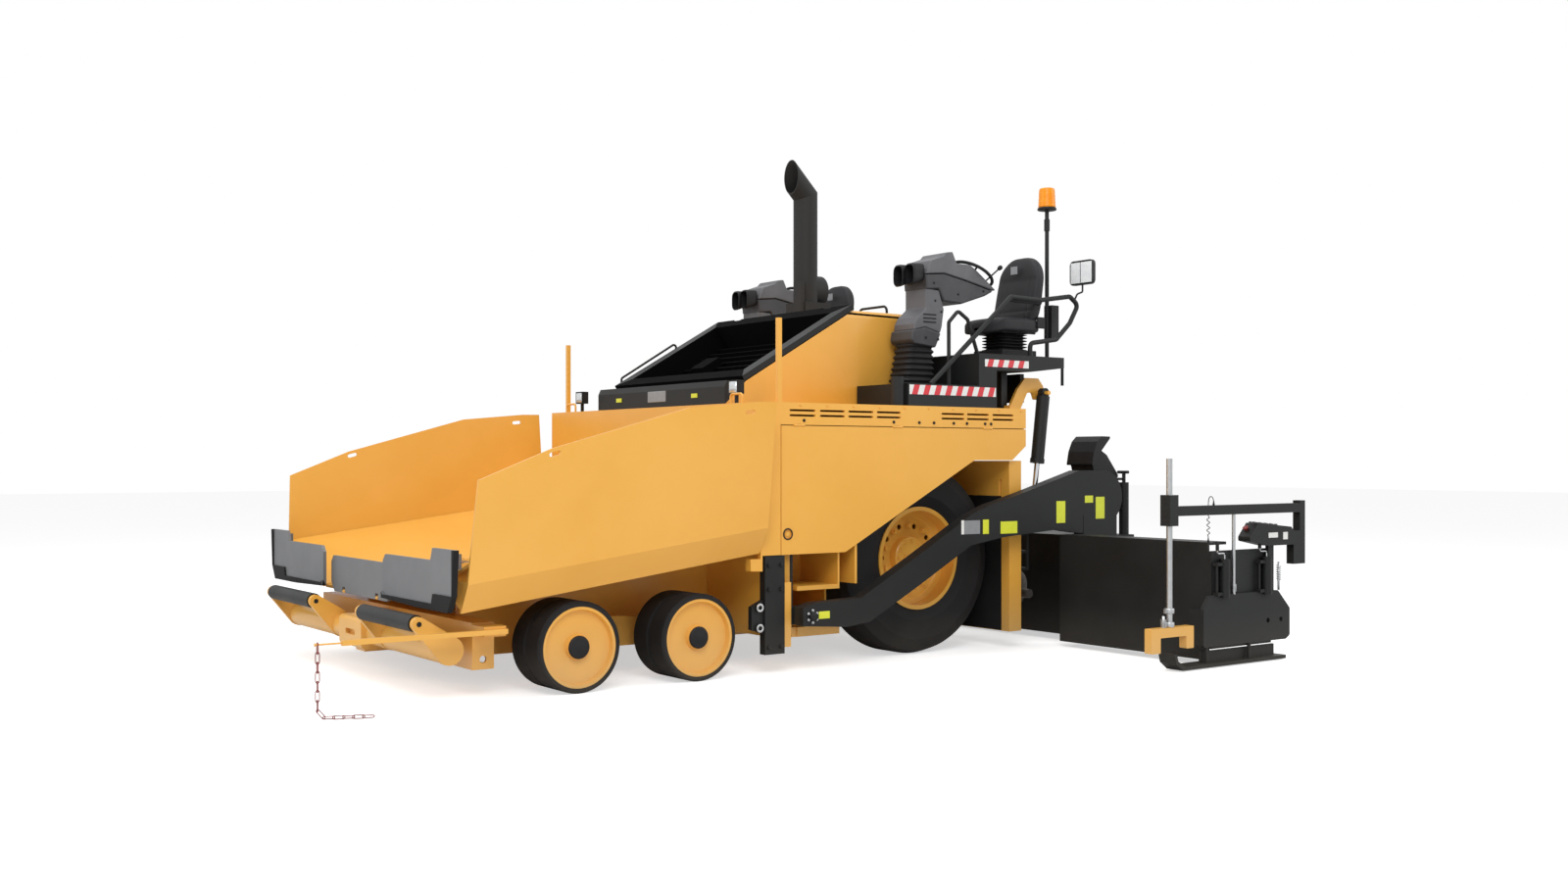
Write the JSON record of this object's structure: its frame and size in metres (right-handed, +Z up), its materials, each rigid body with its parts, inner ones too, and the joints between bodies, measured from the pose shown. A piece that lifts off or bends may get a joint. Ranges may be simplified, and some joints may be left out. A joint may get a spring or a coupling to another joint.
{
  "type": "wheeled asphalt paver",
  "caption": "Wheeled asphalt paver: hopper with folding wings, slat conveyors, augers, towed extending screed, steered bogies and raised operator stations.",
  "frame": {"origin": "on the ground under the middle of the machine's overall box", "axes": "+X forward to the hopper, +Y to the machine's left, +Z up"},
  "size_m": [6.94, 6.084, 3.8863],
  "materials": {
    "yellow_paint": "satin",
    "black_paint": "satin",
    "grey_plate": "satin",
    "grey_plastic": "matte",
    "tyre_rubber": "matte",
    "seat_cover": "matte",
    "bare_steel": "satin",
    "engine_iron": "matte",
    "beacon_lens": "gloss",
    "chain_paint": "satin",
    "cord_rubber": "matte",
    "rod_chrome": "polished"
  },
  "bodies": {
    "tractor": {"auger_gear": "black_paint", "beacon": "beacon_lens", "body_shell": "yellow_paint", "bogie_beams": "yellow_paint", "chain": "chain_paint", "chassis": "yellow_paint", "consoles": "grey_plastic", "conveyors": "bare_steel", "engine": "engine_iron", "exhaust": "black_paint", "handrails": "black_paint", "hood": "yellow_paint", "hopper_floor": "yellow_paint", "platforms": "black_paint", "rear_frame": "yellow_paint", "seats": "seat_cover", "side_panels": "yellow_paint", "tow_plates": "black_paint"},
    "wing_left": {"wing_left": "yellow_paint", "wing_flap_left": "grey_plate"},
    "wing_right": {"wing_right": "yellow_paint", "wing_flap_right": "grey_plate"},
    "apron": {"apron": "grey_plate"},
    "push_beam": {"push_beam": "yellow_paint"},
    "push_roller_left": {"push_roller_left": "black_paint"},
    "side_door_left": {"side_door_left": "yellow_paint"},
    "drive_wheel_left": {"drive_rim_left": "yellow_paint", "drive_tyre_left": "tyre_rubber"},
    "auger_left": {"auger_left": "bare_steel"},
    "extension_left": {"extension_left": "black_paint", "end_gate_left": "black_paint", "sensor_cord": "cord_rubber", "sensor_cord_coil": "cord_rubber"},
    "lift_barrel_left": {"lift_barrel_left": "black_paint"},
    "lift_rod_left": {"lift_rod_left": "rod_chrome"},
    "knuckle_left_1": {"knuckle_left_1": "yellow_paint"},
    "bogie_wheel_left_1": {"bogie_rim_left_1": "yellow_paint", "bogie_tyre_left_1": "tyre_rubber"},
    "knuckle_left_2": {"knuckle_left_2": "yellow_paint"},
    "bogie_wheel_left_2": {"bogie_rim_left_2": "yellow_paint", "bogie_tyre_left_2": "tyre_rubber"},
    "push_roller_right": {"push_roller_right": "black_paint"},
    "side_door_right": {"side_door_right": "yellow_paint"},
    "drive_wheel_right": {"drive_rim_right": "yellow_paint", "drive_tyre_right": "tyre_rubber"},
    "auger_right": {"auger_right": "bare_steel"},
    "extension_right": {"extension_right": "black_paint", "end_gate_right": "black_paint"},
    "lift_barrel_right": {"lift_barrel_right": "black_paint"},
    "lift_rod_right": {"lift_rod_right": "rod_chrome"},
    "knuckle_right_1": {"knuckle_right_1": "yellow_paint"},
    "bogie_wheel_right_1": {"bogie_rim_right_1": "yellow_paint", "bogie_tyre_right_1": "tyre_rubber"},
    "knuckle_right_2": {"knuckle_right_2": "yellow_paint"},
    "bogie_wheel_right_2": {"bogie_rim_right_2": "yellow_paint", "bogie_tyre_right_2": "tyre_rubber"},
    "hood_grille": {"hood_grille": "black_paint"},
    "screed": {"tow_arms": "black_paint", "screed": "black_paint", "screed_consoles": "grey_plastic"}
  },
  "joints": [
    {"name": "wing_fold_left", "type": "hinge", "parent": "tractor", "child": "wing_left", "pos_m": [2.63129, 0.806, 0.53992], "axis": [0.9917, 0, -0.1288], "range_deg": [0, 40]},
    {"name": "wing_fold_right", "type": "hinge", "parent": "tractor", "child": "wing_right", "pos_m": [2.63129, -0.806, 0.53992], "axis": [-0.9917, 0, 0.1288], "range_deg": [0, 40]},
    {"name": "apron_tilt", "type": "hinge", "parent": "tractor", "child": "apron", "pos_m": [2.665, 0, 0.535], "axis": [0, -1, 0], "range_deg": [0, 35]},
    {"name": "push_beam_swing", "type": "hinge", "parent": "tractor", "child": "push_beam", "pos_m": [2.63, 0, 0.3], "axis": [0, 0, 1], "range_deg": [-3, 3]},
    {"name": "push_roller_spin_left", "type": "hinge", "parent": "push_beam", "child": "push_roller_left", "pos_m": [2.82, 0.9, 0.468], "axis": [0, 1, 0], "continuous": true},
    {"name": "push_roller_spin_right", "type": "hinge", "parent": "push_beam", "child": "push_roller_right", "pos_m": [2.82, -0.9, 0.468], "axis": [0, 1, 0], "continuous": true},
    {"name": "steer_left_1", "type": "hinge", "parent": "tractor", "child": "knuckle_left_1", "pos_m": [1.858, 1.06, 0.28], "axis": [0, 0, 1], "range_deg": [-15, 15]},
    {"name": "bogie_wheel_spin_left_1", "type": "hinge", "parent": "knuckle_left_1", "child": "bogie_wheel_left_1", "pos_m": [1.858, 1.322, 0.28], "axis": [0, 1, 0], "continuous": true},
    {"name": "steer_right_1", "type": "hinge", "parent": "tractor", "child": "knuckle_right_1", "pos_m": [1.858, -1.06, 0.28], "axis": [0, 0, 1], "range_deg": [-15, 15]},
    {"name": "bogie_wheel_spin_right_1", "type": "hinge", "parent": "knuckle_right_1", "child": "bogie_wheel_right_1", "pos_m": [1.858, -1.322, 0.28], "axis": [0, 1, 0], "continuous": true},
    {"name": "steer_left_2", "type": "hinge", "parent": "tractor", "child": "knuckle_left_2", "pos_m": [0.998, 1.06, 0.28], "axis": [0, 0, 1], "range_deg": [-10.5, 10.5]},
    {"name": "bogie_wheel_spin_left_2", "type": "hinge", "parent": "knuckle_left_2", "child": "bogie_wheel_left_2", "pos_m": [0.998, 1.322, 0.28], "axis": [0, 1, 0], "continuous": true},
    {"name": "steer_right_2", "type": "hinge", "parent": "tractor", "child": "knuckle_right_2", "pos_m": [0.998, -1.06, 0.28], "axis": [0, 0, 1], "range_deg": [-10.5, 10.5]},
    {"name": "bogie_wheel_spin_right_2", "type": "hinge", "parent": "knuckle_right_2", "child": "bogie_wheel_right_2", "pos_m": [0.998, -1.322, 0.28], "axis": [0, 1, 0], "continuous": true},
    {"name": "drive_wheel_spin_left", "type": "hinge", "parent": "tractor", "child": "drive_wheel_left", "pos_m": [-1.04, 1.1, 0.7], "axis": [0, 1, 0], "continuous": true},
    {"name": "side_door_lift_left", "type": "hinge", "parent": "tractor", "child": "side_door_left", "pos_m": [-0.65, 1.5, 1.648], "axis": [1, 0, 0], "range_deg": [0, 105]},
    {"name": "auger_spin_left", "type": "hinge", "parent": "tractor", "child": "auger_left", "pos_m": [-2.02, 0.7, 0.4], "axis": [0, 1, 0], "continuous": true},
    {"name": "extension_slide_left", "type": "slide", "parent": "screed", "child": "extension_left", "axis": [0, -1, 0], "range_m": [0, 1.3]},
    {"name": "drive_wheel_spin_right", "type": "hinge", "parent": "tractor", "child": "drive_wheel_right", "pos_m": [-1.04, -1.1, 0.7], "axis": [0, 1, 0], "continuous": true},
    {"name": "side_door_lift_right", "type": "hinge", "parent": "tractor", "child": "side_door_right", "pos_m": [-0.65, -1.5, 1.648], "axis": [-1, 0, 0], "range_deg": [0, 105]},
    {"name": "auger_spin_right", "type": "hinge", "parent": "tractor", "child": "auger_right", "pos_m": [-2.02, -0.7, 0.4], "axis": [0, 1, 0], "continuous": true},
    {"name": "extension_slide_right", "type": "slide", "parent": "screed", "child": "extension_right", "axis": [0, 1, 0], "range_m": [0, 1.3]},
    {"name": "hood_grille_lift", "type": "hinge", "parent": "tractor", "child": "hood_grille", "pos_m": [-0.74289, 0, 2.54336], "axis": [0, -1, 0], "range_deg": [0, 45]},
    {"name": "screed_lift", "type": "hinge", "parent": "tractor", "child": "screed", "pos_m": [0.18, 0, 0.375], "axis": [0, 1, 0], "range_deg": [0, 7]},
    {"name": "lift_barrel_turn_left", "type": "hinge", "parent": "tractor", "child": "lift_barrel_left", "pos_m": [-2.2, 1.4, 1.93], "axis": [0, 1, 0], "range_deg": [-12.57, 0.5]},
    {"name": "lift_rod_slide_left", "type": "slide", "parent": "lift_barrel_left", "child": "lift_rod_left", "axis": [-0.1298, 0, 0.9915], "range_m": [-0.001, 0.2455]},
    {"name": "lift_barrel_turn_right", "type": "hinge", "parent": "tractor", "child": "lift_barrel_right", "pos_m": [-2.2, -1.4, 1.93], "axis": [0, 1, 0], "range_deg": [-12.57, 0.5]},
    {"name": "lift_rod_slide_right", "type": "slide", "parent": "lift_barrel_right", "child": "lift_rod_right", "axis": [-0.1298, 0, 0.9915], "range_m": [-0.001, 0.2455]}
  ],
  "couplings": [
    {"joint": "steer_right_1", "follows": "steer_left_1", "ratio": 1},
    {"joint": "steer_left_2", "follows": "steer_left_1", "ratio": 0.7},
    {"joint": "steer_right_2", "follows": "steer_left_1", "ratio": 0.7},
    {"joint": "lift_barrel_turn_left", "follows": "screed_lift", "ratio": -1.7244},
    {"joint": "lift_rod_slide_left", "follows": "screed_lift", "m_per_rad": 1.9928},
    {"joint": "lift_barrel_turn_right", "follows": "screed_lift", "ratio": -1.7244},
    {"joint": "lift_rod_slide_right", "follows": "screed_lift", "m_per_rad": 1.9928}
  ]
}
